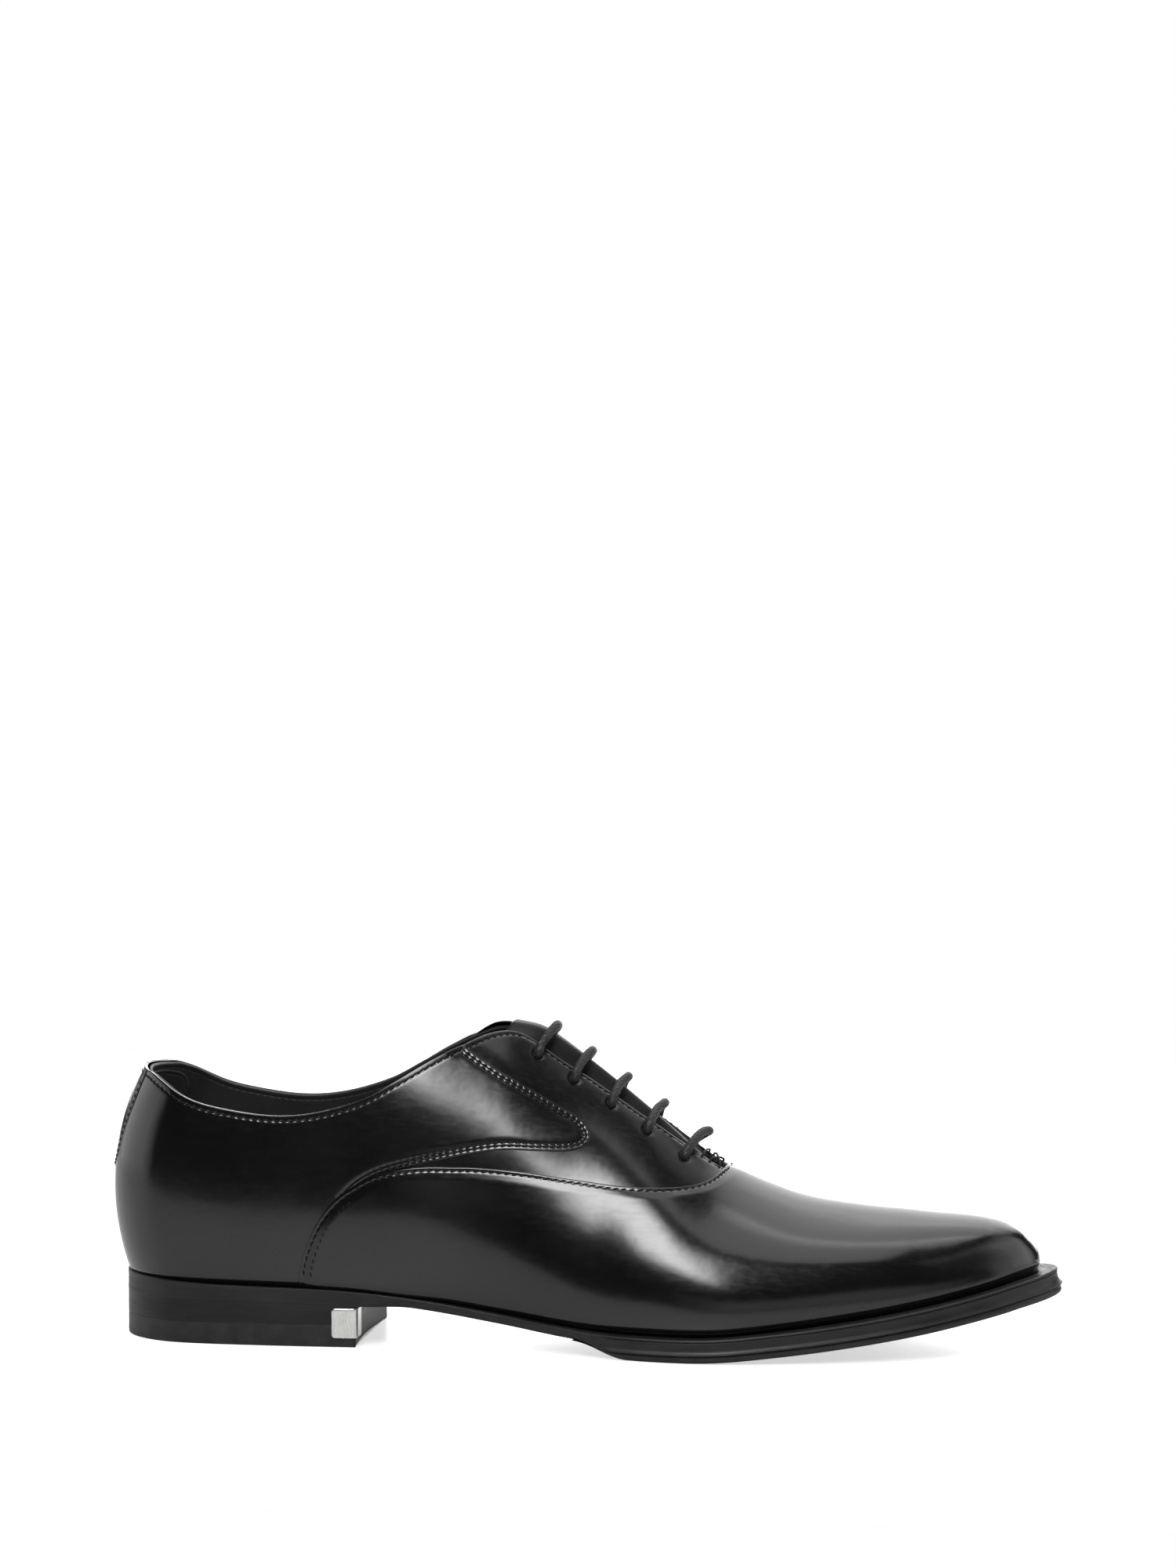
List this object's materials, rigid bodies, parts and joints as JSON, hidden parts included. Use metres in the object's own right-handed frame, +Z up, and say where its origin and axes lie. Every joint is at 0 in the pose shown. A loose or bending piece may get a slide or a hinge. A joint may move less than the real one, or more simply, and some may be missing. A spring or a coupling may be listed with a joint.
{
  "type": "leather oxford shoe",
  "caption": "Right-foot plain-toe leather oxford shoe with closed lacing, long plain vamp, welted sole, stacked heel and a metal heel corner plate.",
  "frame": {"origin": "on the floor, in the middle of the shoe's length and width", "axes": "+X towards the toe, +Y towards the inner (medial) side, +Z up"},
  "size_m": [0.3088, 0.0975, 0.103],
  "materials": {
    "upper_leather": "high-gloss polished black calf leather",
    "lining_leather": "smooth matt black lining leather",
    "stiffener_board": "bare hidden leather board",
    "stay_fabric": "woven cotton tape",
    "sole_leather": "black stained and waxed sole edge",
    "sole_rubber": "matt black rubber",
    "cork": "ground cork",
    "insole_board": "bare insole leather",
    "spring_steel": "bare spring steel",
    "nail_steel": "bare steel",
    "nickel": "polished nickel",
    "lace_cotton": "waxed round black cotton",
    "thread": "black polyester thread",
    "tip_plastic": "black acetate"
  },
  "bodies": {
    "forefoot": {"vamp": "upper_leather", "vamp_lining": "lining_leather", "toe_puff": "stiffener_board", "welt": "sole_leather", "midsole": "sole_leather", "outsole_forepart": "sole_rubber", "cork_filler": "cork", "insole": "insole_board", "sock_liner": "lining_leather"},
    "rearfoot": {"quarter_lateral": "upper_leather", "quarter_medial": "upper_leather", "facing_lateral": "upper_leather", "facing_medial": "upper_leather", "eyelet_stay_lateral": "stay_fabric", "eyelet_stay_medial": "stay_fabric", "quarter_lining_lateral": "lining_leather", "quarter_lining_medial": "lining_leather", "back_strap": "upper_leather", "heel_counter": "stiffener_board", "heel_grip": "lining_leather", "shank": "spring_steel", "heel_rand": "sole_leather", "heel_lift_upper": "sole_leather", "heel_lift_lower": "sole_leather", "heel_top_piece": "sole_rubber", "heel_nails": "nail_steel", "heel_corner_plate": "nickel", "corner_plate_pins": "nickel", "throat_tack": "thread", "lace": "lace_cotton", "lace_tips": "tip_plastic"},
    "tongue": {"tongue": "upper_leather", "tongue_lining": "lining_leather"}
  },
  "joints": [
    {"name": "ball_flex", "type": "hinge", "parent": "forefoot", "child": "rearfoot", "pos_m": [0.058, 0, 0.006], "axis": [0, 1, 0], "range_deg": [0, 25], "stiffness_Nm_per_rad": 6, "deforming": ["vamp", "vamp_lining", "welt", "midsole", "outsole_forepart", "cork_filler", "insole", "sock_liner"]},
    {"name": "tongue_tilt", "type": "hinge", "parent": "rearfoot", "child": "tongue", "pos_m": [0.043, 0, 0.05], "axis": [0, -1, 0], "range_deg": [0, 10], "stiffness_Nm_per_rad": 0.4}
  ]
}
